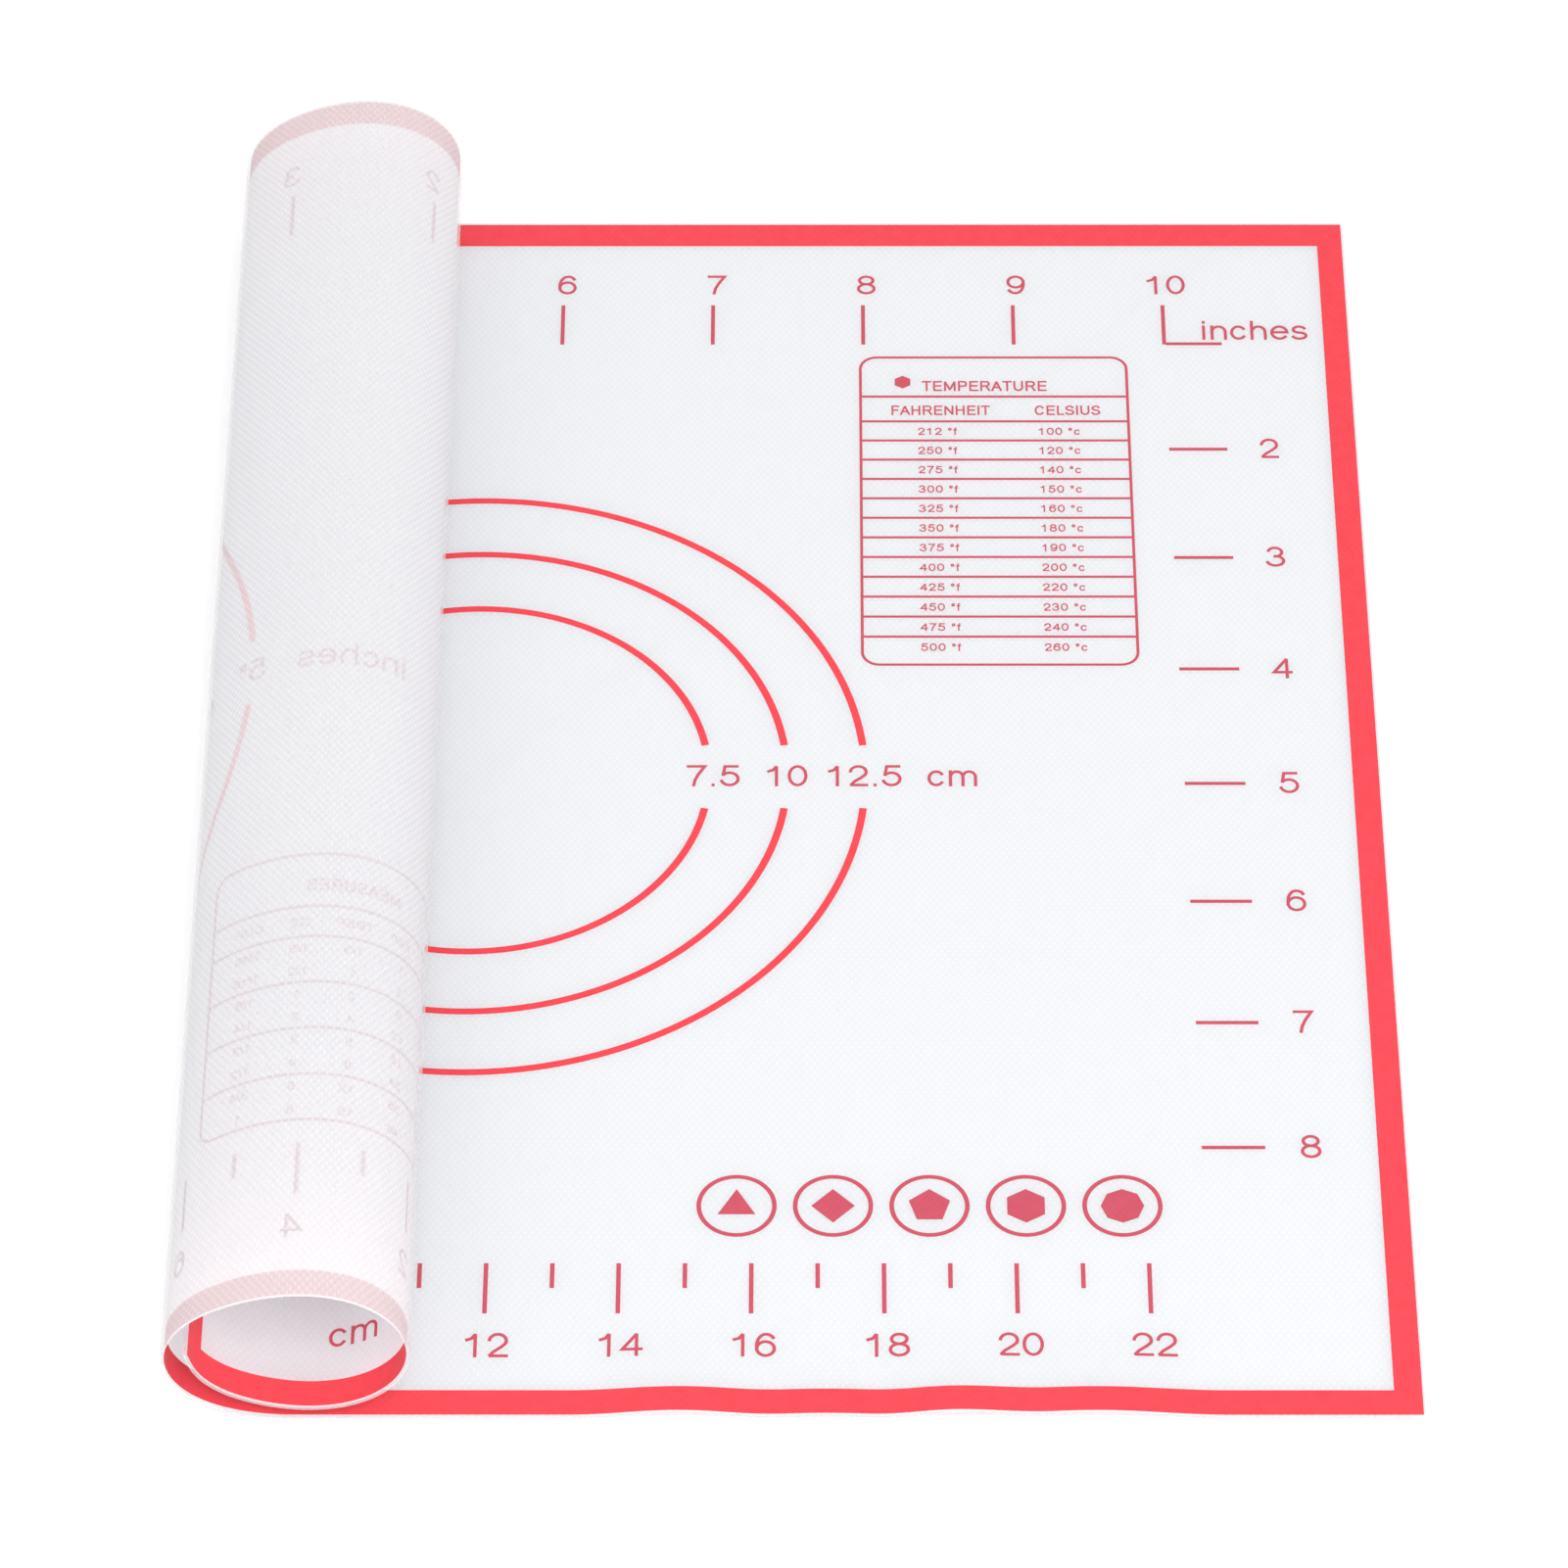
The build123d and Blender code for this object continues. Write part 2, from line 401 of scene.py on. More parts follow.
def attach(curve, piece, number):
    """A piece of the flat part or of the free end rides on its body, and each other one has its
    place baked into its mesh.
    """
    bodies = ["flat_part"] + [f"strip_{n:02d}" for n in range(1, curve.count + 1)]
    if number == 0:
        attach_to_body(piece, bodies[0])
    elif number > curve.count:
        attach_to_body(piece, bodies[-1])
    else:
        curve.middle(number - 1)
        curve.middle(number)
        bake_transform(piece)


def sheet_piece(curve, number):
    """A stretch of the sheet: its two faces, and a rim wherever the mat itself ends. The flat
    part is closed on the roll's side too."""
    s = sizes()
    xs, ys = cuts(curve, number), rows(number)
    bm = bmesh.new()
    faces = {}
    for height in (0.0, -s.thickness):
        grid = [[bm.verts.new((x, y, height)) for y in ys] for x in xs]
        faces[height] = grid
        for i in range(len(xs) - 1):
            for j in range(len(ys) - 1):
                corners = [grid[i][j], grid[i + 1][j], grid[i + 1][j + 1], grid[i][j + 1]]
                bm.faces.new(corners if height == 0 else corners[::-1])
    top, low = faces[0.0], faces[-s.thickness]
    for i in range(len(xs) - 1):
        bm.faces.new([top[i][0], low[i][0], low[i + 1][0], top[i + 1][0]])
        bm.faces.new([top[i + 1][-1], low[i + 1][-1], low[i][-1], top[i][-1]])
    for j in range(len(ys) - 1):
        if number == 0:
            bm.faces.new([top[-1][j], low[-1][j], low[-1][j + 1], top[-1][j + 1]])
        if number in (0, curve.count + 1):
            bm.faces.new([top[0][j + 1], low[0][j + 1], low[0][j], top[0][j]])
    name = "flat_sheet" if number == 0 else f"roll_sheet_{number:02d}"
    piece = finish_mesh(name, bm, curve, [printed_side(), underside()], -s.thickness, 0.0)
    attach(curve, piece, number)
    return piece


bend_step = 12  # degrees from point to point


def bend(x, y, across, up, start, stop):
    """Points along an ellipse from one angle to another, in degrees."""
    count = max(2, ceil(abs(stop - start) / bend_step))
    angles = [radians(start + (stop - start) * n / count) for n in range(count + 1)]
    return [(x + across * cos(a), y + up * sin(a)) for a in angles]


def stroke(points, width, overrun=0.0):
    """The pieces of a line of some width through the points: a bar for each stretch, and a
    wedge at each corner. None of them folds over itself."""
    points = [Vector(p) for p in points]
    points = [points[0]] + [b for a, b in zip(points, points[1:]) if (b - a).length > 1e-6]
    closed = (points[0] - points[-1]).length < 1e-6
    if overrun and not closed:
        points[0] = points[0] + (points[0] - points[1]).normalized() * overrun
        points[-1] = points[-1] + (points[-1] - points[-2]).normalized() * overrun
    ways = [(b - a).normalized() for a, b in zip(points, points[1:])]
    sides = [Vector((-way.y, way.x)) * width / 2 for way in ways]
    pieces = [[a - side, b - side, b + side, a + side]
              for a, b, side in zip(points, points[1:], sides)]
    for n in range(0 if closed else 1, len(ways)):
        before, after = ways[n - 1], ways[n]
        turn = before.cross(after)
        if abs(turn) < 0.02:
            continue
        out = -1 if turn > 0 else 1
        point = points[n]
        first, last = point + sides[n - 1] * out, point + sides[n] * out
        middle = (sides[n - 1] + sides[n]) * out
        tip = []
        if abs(turn) > 0.5 and before.dot(after) > -0.6:
            tip = [point + middle * (width * width / 2 / middle.length_squared)]
        pieces.append([point, first, *tip, last])
    return pieces


def ring(radius, width, start, stop, count):
    """Part of a ring, as bars that share their ends."""
    inner, outer = radius - width / 2, radius + width / 2
    angles = [radians(start + (stop - start) * n / count) for n in range(count + 1)]
    ways = [Vector((cos(a), sin(a))) for a in angles]
    return [[a * inner, a * outer, b * outer, b * inner] for a, b in zip(ways, ways[1:])]


def bar(left, right, front, back):
    """A flat rectangle."""
    return [[Vector(p) for p in ((left, front), (right, front), (right, back), (left, back))]]


def figure(x, y, radius, sides):
    """A filled polygon with a corner to the back."""
    angles = [pi / 2 + 2 * pi * n / sides for n in range(sides)]
    return [[Vector((x + radius * cos(a), y + radius * sin(a))) for a in angles]]


def framed(left, right, front, back):
    """A rounded frame, drawn along the middle of its line."""
    t = tables()
    half, corner = t.line / 2, t.corner - t.line / 2
    l, r, f, b = left + half, right - half, front + half, back - half
    path = (bend(r - corner, b - corner, corner, corner, 0, 90)
            + bend(l + corner, b - corner, corner, corner, 90, 180)
            + bend(l + corner, f + corner, corner, corner, 180, 270)
            + bend(r - corner, f + corner, corner, corner, 270, 360))
    return stroke(path + [path[0]], t.line)


# Each sign: its left bearing, width and advance in heights, and its lines in a unit box
round_sign = bend(0.5, 0.5, 0.5, 0.5, 90, 450)
arch = bend(0.5, 0.40, 0.5, 0.32, 180, 0)
signs = {
    "0": (0.04, 0.69, 0.772, [round_sign]),
    "1": (0.1, 0.38, 0.772, [[(0, 0.74), (0.55, 0.8), (1, 1), (1, 0)]]),
    "2": (0.04, 0.68, 0.772, [
        bend(0.5, 0.7, 0.48, 0.3, 172, -28)
        + [(0.68, 0.4), (0.28, 0.2), (0.03, 0), (1, 0)]]),
    "3": (0.04, 0.68, 0.772, [
        bend(0.47, 0.755, 0.43, 0.245, 160, -90),
        bend(0.47, 0.265, 0.52, 0.265, 90, -162)]),
    "4": (0.03, 0.71, 0.772, [[(0.76, 0), (0.76, 1), (0, 0.27), (1, 0.27)]]),
    "5": (0.04, 0.69, 0.772, [
        [(0.92, 1), (0.2, 1), (0.08, 0.5)]
        + bend(0.48, 0.33, 0.51, 0.33, 135, -160)]),
    "6": (0.04, 0.69, 0.772, [
        bend(0.52, 0.74, 0.43, 0.26, 22, 90)
        + bend(0.52, 0.45, 0.51, 0.55, 105, 180)
        + bend(0.5, 0.325, 0.49, 0.325, 180, 540)]),
    "7": (0.04, 0.68, 0.772, [[(0, 1), (1, 1), (0.62, 0.58), (0.42, 0.27), (0.34, 0)]]),
    "8": (0.04, 0.69, 0.772, [
        bend(0.5, 0.77, 0.43, 0.23, -90, 270),
        bend(0.5, 0.27, 0.5, 0.27, 90, 450)]),
    "9": (0.04, 0.69, 0.772, [
        bend(0.48, 0.26, 0.43, 0.26, 202, 270)
        + bend(0.48, 0.55, 0.51, 0.55, -75, 0)
        + bend(0.5, 0.675, 0.49, 0.325, 0, 360)]),
    ".": (0.13, 0.12, 0.386, [[(0.5, 0), (0.5, 0.01)]]),
    "/": (0, 0.38, 0.386, [[(0, 0), (1, 1)]]),
    '"': (0.1, 0.28, 0.49, [[(0, 1), (0, 0.76)], [(1, 1), (1, 0.76)]]),
    "°": (0.06, 0.36, 0.5, [bend(0.5, 0.82, 0.5, 0.16, 90, 450)]),
    " ": (0, 0, 0.386, []),
    "A": (0.02, 0.88, 0.926, [[(0, 0), (0.5, 1), (1, 0)], [(0.18, 0.34), (0.82, 0.34)]]),
    "B": (0.1, 0.78, 0.926, [
        [(0, 0), (0, 1)] + bend(0.62, 0.76, 0.32, 0.24, 90, -90)
        + [(0, 0.52)], [(0, 0)] + bend(0.62, 0.26, 0.38, 0.26, -90, 90)]),
    "C": (0.06, 0.87, 1, [bend(0.5, 0.5, 0.5, 0.5, 38, 322)]),
    "E": (0.12, 0.74, 0.926, [[(1, 1), (0, 1), (0, 0), (1, 0)], [(0, 0.52), (0.92, 0.52)]]),
    "F": (0.12, 0.68, 0.848, [[(0, 0), (0, 1), (1, 1)], [(0, 0.52), (0.85, 0.52)]]),
    "H": (0.11, 0.78, 1, [[(0, 0), (0, 1)], [(1, 0), (1, 1)], [(0, 0.52), (1, 0.52)]]),
    "I": (0.13, 0.12, 0.386, [[(0.5, 0), (0.5, 1)]]),
    "L": (0.11, 0.63, 0.772, [[(0, 1), (0, 0), (1, 0)]]),
    "M": (0.1, 0.96, 1.157, [[(0, 0), (0, 1), (0.5, 0.08), (1, 1), (1, 0)]]),
    "N": (0.1, 0.8, 1, [[(0, 0), (0, 1), (1, 0), (1, 1)]]),
    "O": (0.05, 0.98, 1.08, [round_sign]),
    "P": (0.11, 0.76, 0.926, [
        [(0, 0), (0, 1)] + bend(0.64, 0.74, 0.36, 0.26, 90, -90)
        + [(0, 0.48)]]),
    "R": (0.11, 0.82, 1, [
        [(0, 0), (0, 1)] + bend(0.62, 0.75, 0.34, 0.25, 90, -90)
        + [(0, 0.5)], [(0.6, 0.5), (1, 0)]]),
    "S": (0.06, 0.8, 0.926, [
        bend(0.5, 0.755, 0.45, 0.245, 20, 270)
        + bend(0.5, 0.255, 0.5, 0.255, 90, -162)[1:]]),
    "T": (0.03, 0.79, 0.848, [[(0, 1), (1, 1)], [(0.5, 1), (0.5, 0)]]),
    "U": (0.1, 0.8, 1, [[(0, 1)] + bend(0.5, 0.36, 0.5, 0.36, 180, 360) + [(1, 1)]]),
    "Z": (0.04, 0.77, 0.848, [[(0, 1), (1, 1), (0, 0), (1, 0)]]),
    "c": (0.04, 0.61, 0.694, [bend(0.5, 0.36, 0.5, 0.36, 40, 320)]),
    "e": (0.05, 0.67, 0.772, [[(0.02, 0.38), (0.98, 0.38)] + bend(0.5, 0.36, 0.5, 0.36, 3, 318)]),
    "f": (0.02, 0.36, 0.386, [
        [(0.42, 0), (0.42, 0.82)] + bend(0.86, 0.82, 0.44, 0.18, 180, 95),
        [(0, 0.7), (0.95, 0.7)]]),
    "h": (0.09, 0.6, 0.772, [[(0, 0), (0, 1)], arch + [(1, 0)]]),
    "i": (0.09, 0.12, 0.309, [[(0.5, 0), (0.5, 0.72)], [(0.5, 0.96), (0.5, 0.99)]]),
    "m": (0.09, 0.98, 1.157, [
        [(0, 0), (0, 0.72)],
        bend(0.25, 0.44, 0.25, 0.28, 180, 0) + [(0.5, 0)],
        bend(0.75, 0.44, 0.25, 0.28, 180, 0) + [(1, 0)]]),
    "n": (0.09, 0.6, 0.772, [[(0, 0), (0, 0.72)], arch + [(1, 0)]]),
    "s": (0.04, 0.6, 0.694, [
        bend(0.5, 0.54, 0.44, 0.18, 25, 270)
        + bend(0.5, 0.18, 0.5, 0.18, 90, -158)[1:]]),
}


def write(text, x, y, height, weight, spread=0.0, narrow=1.0):
    """Lettering centred on x and y, as the pieces of its lines."""
    advance = (sum(signs[sign][2] + spread for sign in text) - spread) * narrow
    pen = x - advance * height / 2
    line = weight * height
    pieces = []
    for sign in text:
        left, width, step, lines = signs[sign]
        for points in lines:
            drawn = [(pen + left * narrow * height + line / 2
                      + px * (width * narrow * height - line),
                      y - height / 2 + line / 2 + py * (height - line)) for px, py in points]
            pieces += stroke(drawn, line, overrun=line / 2)
        pen += (step + spread) * narrow * height
    return pieces


def border_ink():
    s, p = sizes(), prints()
    x, y = s.mat_length / 2 - p.border_inset, s.mat_depth / 2 - p.border_inset
    return (bar(-x, x, -y, -y + p.front_border) + bar(-x, x, y - p.back_border, y)
            + bar(-x, -x + p.left_border, -y, y) + bar(x - p.right_border, x, -y, y))


# The rulers' last numbers, and how far their numbers stand beside the ticks' middles
last_inch, last_dash, last_cm = 10, 8, 22
inch_shift, cm_shift = 0.6 * mm, 0.4 * mm
text_lift = 0.2 * mm  # how far lettering beside a level line stands behind its middle
inches_place = (128.8 * mm, 103.4 * mm)


def back_ruler_ink():
    s, p = sizes(), prints()
    zero = -s.mat_length / 2 + p.inch_zero
    back = s.mat_depth / 2 - p.inch_tick_back
    pieces = []
    for number in range(1, last_inch + 1):
        x = zero + number * p.inch
        half = p.inch_tick / 2
        pieces += bar(x - half, x + half, back - p.inch_tick_length, back)
        pieces += write(str(number), x + inch_shift, back + p.number_gap, p.number_height,
                        p.stroke)
    return pieces


def dash_left():
    """Where the side ruler's dashes start, at the last inch tick."""
    s, p = sizes(), prints()
    return -s.mat_length / 2 + p.inch_zero + last_inch * p.inch


def side_ruler_ink():
    s, p = sizes(), prints()
    left, half = dash_left(), p.inch_tick / 2
    right = left + p.dash_length
    pieces = write("inches", *inches_place, p.number_height, p.stroke)
    for number in range(1, last_dash + 1):
        y = s.mat_depth / 2 - p.inch_zero - number * p.inch
        start = left + half if number == 1 else left
        pieces += bar(start, right, y - half, y + half)
        if number > 1:
            pieces += write(str(number), right + p.side_number_gap, y + text_lift,
                            p.number_height, p.stroke)
    return pieces


def cm_ruler_ink():
    s, p = sizes(), prints()
    back = -s.mat_depth / 2 + p.cm_tick_back
    half = p.cm_tick / 2
    y = back - p.cm_long_tick - p.cm_number_gap
    pieces = []
    for number in range(last_cm + 1):
        x = -s.mat_length / 2 + p.cm_zero + number * p.centimetre
        long = p.cm_short_tick if number % 2 else p.cm_long_tick
        pieces += bar(x - half, x + half, back - long, back)
        if number % 2 == 0:
            text = str(number) if number else "cm"
            pieces += write(text, x + cm_shift, y, p.cm_number_height, p.stroke)
    return pieces


ring_diameters = (75 * mm, 100 * mm, 125 * mm)
# Each label and its middle along x, in millimetres
ring_labels = (("7.5", 38.2), ("10", 49.9), ("12.5", 62.3), ("cm", 76.5),
               ('3"', -37.5), ('4"', -50.0), ('5"', -62.3), ("inches", -79.5))


def ring_ink():
    p = prints()
    pieces = []
    for diameter in ring_diameters:
        radius = diameter / 2
        gap = degrees(asin(p.ring_gap / diameter))
        for turn in (0, 180):
            pieces += ring(radius, p.ring_line, turn + gap, turn + 180 - gap, 96)
    return pieces


def ring_label_ink():
    p = prints()
    pieces = []
    for text, x in ring_labels:
        pieces += write(text, x * mm, text_lift, p.number_height, p.stroke)
    return pieces


# Each column of the temperature table: its name, its sign, the middles of the name and of the
# numbers along x in millimetres, and the numbers
oven_columns = (
    ("FAHRENHEIT", "°f", 75.5, 74.95, (212, 250, 275, 300, 325, 350, 375, 400, 425, 450, 475, 500)),
    ("CELSIUS", "°c", 96.8, 95.3, (100, 120, 140, 150, 160, 180, 190, 200, 220, 230, 240, 260)))
oven_heading_x = 83.0 * mm
oven_heading_drop = 7.15 * mm  # from the table's back to the middle of its heading
oven_names_drop = 3.3 * mm
oven_row_share = 0.52  # how far down a row the middle of its numbers lies
oven_spread = 0.06
heading_mark_inset, heading_mark_drop, heading_mark_radius = 7.3 * mm, 6.2 * mm, 1.5 * mm


def table_ink(left, right, front, back, lines):
    """A frame with level lines across it."""
    half = tables().line / 2
    pieces = framed(left, right, front, back)
    for y in lines:
        pieces += bar(left + half, right - half, y - half, y + half)
    return pieces


def temperature_table_ink():
    s, p, t = sizes(), prints(), tables()
    right = dash_left() - p.side_gap
    left = right - t.oven_length
    back = s.mat_depth / 2 - p.inch_tick_back - p.inch_tick_length - t.oven_gap
    names = back - t.oven_heading
    first = names - t.oven_names
    count = len(oven_columns[0][-1])
    lines = [names] + [first - n * t.oven_row for n in range(count)]
    pieces = table_ink(left, right, first - count * t.oven_row - t.oven_foot, back, lines)
    pieces += figure(left + heading_mark_inset, back - heading_mark_drop, heading_mark_radius, 6)
    pieces += write("TEMPERATURE", oven_heading_x, back - oven_heading_drop, t.heading_height,
                    t.stroke, narrow=t.narrow)
    for name, sign, name_x, x, values in oven_columns:
        pieces += write(name, name_x * mm, names - oven_names_drop, t.names_height, t.stroke,
                        narrow=t.narrow)
        for n, value in enumerate(values):
            y = first - (n + oven_row_share) * t.oven_row
            pieces += write(f"{value} {sign}", x * mm, y, t.row_height, t.stroke,
                            spread=oven_spread)
    return pieces


measures = (("ML", "5", "15", "30", "60", "80", "120", "180", "240"),
            ("TSP", "1", "3", "6", "12", "16", "24", "36", "48"),
            ("TBSP", "1/3", "1", "2", "4", "5", "8", "12", "16"),
            ("OZ", "1/6", "1/2", "1", "2", "3", "4", "6", "8"),
            ("CUP", "1/48", "1/16", "1/8", "1/4", "1/3", "1/2", "3/4", "1"))
measure_heading_lift = 4.4 * mm  # from the line below the heading to its middle
measure_names_drop = 3.2 * mm
first_column = 7.2 * mm  # from the table's left side to the middle of its first column


def measure_table_front():
    return -sizes().mat_depth / 2 + prints().cm_tick_back + tables().measure_gap


def measure_table_ink():
    """Two rows of numbers between each two lines."""
    t = tables()
    left = -sizes().mat_length / 2 + t.measure_inset
    right = left + t.measure_length
    front = measure_table_front()
    first = front + 4 * t.measure_row
    names = first + t.measure_names
    lines = [names] + [first - n * t.measure_row for n in range(4)]
    pieces = table_ink(left, right, front, names + t.measure_heading, lines)
    pieces += write("MEASURES", (left + right) / 2, names + measure_heading_lift,
                    t.heading_height, t.stroke, narrow=t.narrow)
    for column, (name, *values) in enumerate(measures):
        x = left + first_column + t.measure_column * column
        pieces += write(name, x, names - measure_names_drop, t.row_height, t.stroke)
        for n, value in enumerate(values):
            pieces += write(value, x, first - (n + 0.5) * t.measure_row / 2, t.row_height,
                            t.stroke)
    return pieces


def mark_ink():
    """A row of rings that ends flush with the temperature table, with a figure in each."""
    p = prints()
    radius = p.mark_diameter / 2
    y = measure_table_front() + p.mark_lift + radius
    last = dash_left() - p.side_gap - radius
    figures = (3, 4, 5, 6, 8)
    pieces = []
    for number, sides in enumerate(figures):
        x = last - (len(figures) - 1 - number) * p.mark_pitch
        for corners in ring(radius - p.mark_line / 2, p.mark_line, 0, 360, 60):
            pieces.append([corner + Vector((x, y)) for corner in corners])
        pieces += figure(x, y, p.figure_radius, sides)
    return pieces


def joined(pieces):
    """Overlapping flat pieces as one bmesh of triangles with no overlap."""
    points, faces = [], []
    for corners in pieces:
        if (corners[1] - corners[0]).cross(corners[2] - corners[1]) < 0:
            corners = corners[::-1]
        faces.append(list(range(len(points), len(points) + len(corners))))
        points += corners
    verts, _, triangles, _, _, sources = delaunay_2d_cdt(points, [], faces, 1, 1e-7, True)
    bm = bmesh.new()
    made = [bm.verts.new((v.x, v.y, 0)) for v in verts]
    for triangle, source in zip(triangles, sources):
        if source:
            bm.faces.new([made[n] for n in triangle])
    loose = [v for v in bm.verts if not v.link_faces]
    bmesh.ops.delete(bm, geom=loose, context="VERTS")
    return bm


def cut(bm, at, axis, keep_over=False, keep_under=False):
    """Cuts a flat bmesh across x or y, and drops a side unless both are kept."""
    normal = (1, 0, 0) if axis == "x" else (0, 1, 0)
    point = (at, 0, 0) if axis == "x" else (0, at, 0)
    bmesh.ops.bisect_plane(bm, geom=bm.verts[:] + bm.edges[:] + bm.faces[:], dist=1e-8,
                           plane_co=point, plane_no=normal, clear_inner=keep_over,
                           clear_outer=keep_under)


def print_piece(curve, name, drawing, number, material, *nodes):
    """One layer of ink on one piece of the sheet, cut where the sheet's faces meet."""
    bm = drawing.copy()
    left, right = curve.window(number)
    cut(bm, left, "x", keep_over=True)
    cut(bm, right, "x", keep_under=True)
    if not bm.faces:
        bm.free()
        return None
    xs = [v.co.x for v in bm.verts]
    ys = [v.co.y for v in bm.verts]
    for x in cuts(curve, number)[1:-1]:
        if min(xs) < x < max(xs) and (number or min(ys) < -sizes().mat_depth / 2
                                      + sizes().wave_reach):
            cut(bm, x, "x")
    for y in rows(number)[1:-1] if number == 0 else []:
        if min(ys) < y < max(ys) and y < -sizes().mat_depth / 2 + sizes().wave_reach + 1e-6:
            cut(bm, y, "y")
    p = prints()
    lower = bm.faces[:]
    raised = bmesh.ops.extrude_face_region(bm, geom=lower)["geom"]
    for vert in [v for v in raised if isinstance(v, bmesh.types.BMVert)]:
        vert.co.z = p.ink
    for vert in {v for face in lower if face.is_valid for v in face.verts}:
        vert.co.z = p.clear
    bmesh.ops.recalc_face_normals(bm, faces=bm.faces[:])
    piece = finish_mesh(name, bm, curve, [material], p.clear, p.ink)
    attach(curve, piece, number)
    if nodes:
        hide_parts(*nodes)
    return piece


class Sum:
    """A number at a socket. Sums on it add Math nodes."""

    def __init__(self, finish, socket):
        self.finish, self.socket = finish, socket

    def maths(self, operation, *values):
        node = self.finish.node("ShaderNodeMath", {"operation": operation},
                                dict(enumerate(values)))
        return Sum(self.finish, node.outputs[0])

    def __add__(self, other):
        return self.maths("ADD", self, other)

    __radd__ = __add__

    def __sub__(self, other):
        return self.maths("SUBTRACT", self, other)

    def __rsub__(self, other):
        return self.maths("SUBTRACT", other, self)

    def __mul__(self, other):
        return self.maths("MULTIPLY", self, other)

    __rmul__ = __mul__

    def cosine(self):
        return self.maths("COSINE", self)

    def clamped(self):
        return self.maths("MINIMUM", self.maths("MAXIMUM", self, 0.0), 1.0)


class Finish:
    """A material, or the world, and the nodes that it is made of."""

    def __init__(self, owner):
        owner.use_nodes = True
        self.tree = owner.node_tree
        self.tree.nodes.clear()

    def node(self, kind, settings=None, sockets=None):
        node = self.tree.nodes.new(kind)
        for name, value in (settings or {}).items():
            setattr(node, name, value)
        for name, value in (sockets or {}).items():
            self.set(node.inputs[name], value)
        return node

    def set(self, socket, value):
        if isinstance(value, Sum):
            value = value.socket
        if isinstance(value, bpy.types.NodeSocket):
            self.tree.links.new(value, socket)
        elif socket.type == "RGBA":
            socket.default_value = (*value[:3], 1.0)
        else:
            socket.default_value = value

    def mixed(self, factor, first, second):
        """A colour between two others."""
        node = self.node("ShaderNodeMix", {"data_type": "RGBA"},
                         {0: factor, 6: first, 7: second})
        return node.outputs[2]

    def noise(self, place, scale, detail):
        """Cloudy values round 0.5."""
        node = self.node("ShaderNodeTexNoise", {"noise_dimensions": "2D"},
                         {"Vector": place, "Scale": scale, "Detail": detail})
        return Sum(self, node.outputs[0])

    def relief(self, high, strength):
        """The normal of the weave's relief."""
        depth = finishes().weave_depth
        node = self.node("ShaderNodeBump", None,
                         {"Height": high, "Distance": depth, "Strength": strength})
        return node.outputs[0]

    def show(self, shader):
        self.node("ShaderNodeOutputMaterial", None, {"Surface": shader.outputs[0]})


# Scales of the noises, per metre: the yarns' drift, the cloudy coat and the patchy ink
drift_scale, cloud_scale, patch_scale = 55.0, 18.0, 420.0
sway_x, sway_y = 1.6, 1.1  # how far the drift moves the yarns, in radians of their waves


def weave(finish):
    """How high the cloth stands under the coat, from 0 between yarns to 1 on a crossing."""
    f = finishes()
    flat = finish.node("ShaderNodeUVMap", {"uv_map": "flat"})
    sway = finish.noise(flat.outputs[0], drift_scale, 2.0) - 0.5
    apart = finish.node("ShaderNodeSeparateXYZ", None, {0: flat.outputs[0]})
    x = Sum(finish, apart.outputs[0]) * (pi / f.yarn_x) + sway * sway_x
    y = Sum(finish, apart.outputs[1]) * (pi / f.yarn_y) + sway * sway_y
    return x.cosine() * y.cosine() * 0.5 + 0.5, flat.outputs[0]


crossing_contrast, cloud_contrast = 2.2, 0.3
dimple_roughness = 0.16  # how much rougher the coat is between yarns
patch_roughness = 0.15


def coat_parts(finish, low):
    """The coat's own colour, roughness and relief, and how near a yarn crossing a point is."""
    f = finishes()
    high, flat = weave(finish)
    cloud = finish.noise(flat, cloud_scale, 3.0)
    peak = ((high - 0.5) * crossing_contrast + (cloud - 0.5) * cloud_contrast).clamped()
    return peak, {
        "Base Color": finish.mixed(peak, low, f.coat),
        "Roughness": f.coat_roughness + dimple_roughness * (1 - peak),
        "Specular IOR Level": 0.3,
        "Normal": finish.relief(high, 0.6),
    }


def printed_side_finish(finish):
    """The coat on the cloth. Light comes through them scattered, and least at a crossing."""
    f = finishes()
    peak, values = coat_parts(finish, f.coat_low)
    face = finish.node("ShaderNodeBsdfPrincipled", None, values)
    glow = finish.node("ShaderNodeBsdfTranslucent", None, {"Color": f.glow})
    both = finish.node("ShaderNodeMixShader", None, {
        0: f.through + f.through_weave * (0.5 - peak), 1: face.outputs[0], 2: glow.outputs[0]})
    finish.show(both)


def underside_finish(finish):
    """The clear coat under the cloth."""
    f = finishes()
    peak, values = coat_parts(finish, f.under_low)
    values["Alpha"] = f.under_alpha + f.under_weave * (peak - 0.5)
    finish.show(finish.node("ShaderNodeBsdfPrincipled", None, values))


def ink_finish(finish, colour):
    f = finishes()
    high, flat = weave(finish)
    patch = finish.noise(flat, patch_scale, 3.0)
    paler = [min(1.0, c * 1.04 + 0.012) for c in colour]
    shader = finish.node("ShaderNodeBsdfPrincipled", None, {
        "Base Color": finish.mixed((patch * 1.4 - 0.4 + high * 0.3).clamped(), colour, paler),
        "Roughness": f.ink_roughness + patch_roughness * patch,
        "Specular IOR Level": 0.12,
        "Normal": finish.relief(high, 0.3),
    })
    finish.show(shader)


def material(name, make, *values):
    """A material, which is made the first time that it is asked for."""
    if name not in bpy.data.materials:
        make(Finish(bpy.data.materials.new(name)), *values)
    return bpy.data.materials[name]


def printed_side():
    return material("silicone_over_cloth", printed_side_finish)


def underside():
    return material("clear_silicone_under_cloth", underside_finish)


def ink():
    return material("ink_in_bands", ink_finish, finishes().ink)


def line_ink():
    return material("ink_in_lines", ink_finish, finishes().ink_line)


